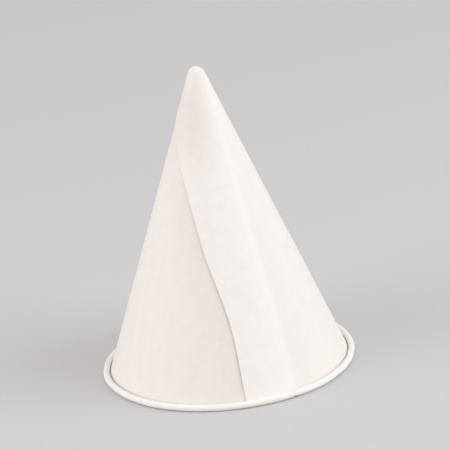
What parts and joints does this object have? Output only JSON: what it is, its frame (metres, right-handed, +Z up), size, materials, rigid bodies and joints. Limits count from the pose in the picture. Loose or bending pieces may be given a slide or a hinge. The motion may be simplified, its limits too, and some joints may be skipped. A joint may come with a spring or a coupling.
{
  "type": "cone paper cup",
  "caption": "Rolled-rim paper cone cup for water, wound from one sheet with a slanting lap and a blunt tip, standing mouth down on its rim.",
  "frame": {"origin": "centre of the mouth, on the plane that the rolled rim rests on", "axes": "+Z up along the cone's axis to the tip, -Y to the side with the lap, +X to the right seen from there"},
  "size_m": [0.093, 0.093, 0.115],
  "materials": {
    "cup_paper": "warm white cup paper, matt with a faint satin sheen"
  },
  "bodies": {
    "root": {"cone_cup": "cup_paper"}
  },
  "joints": []
}
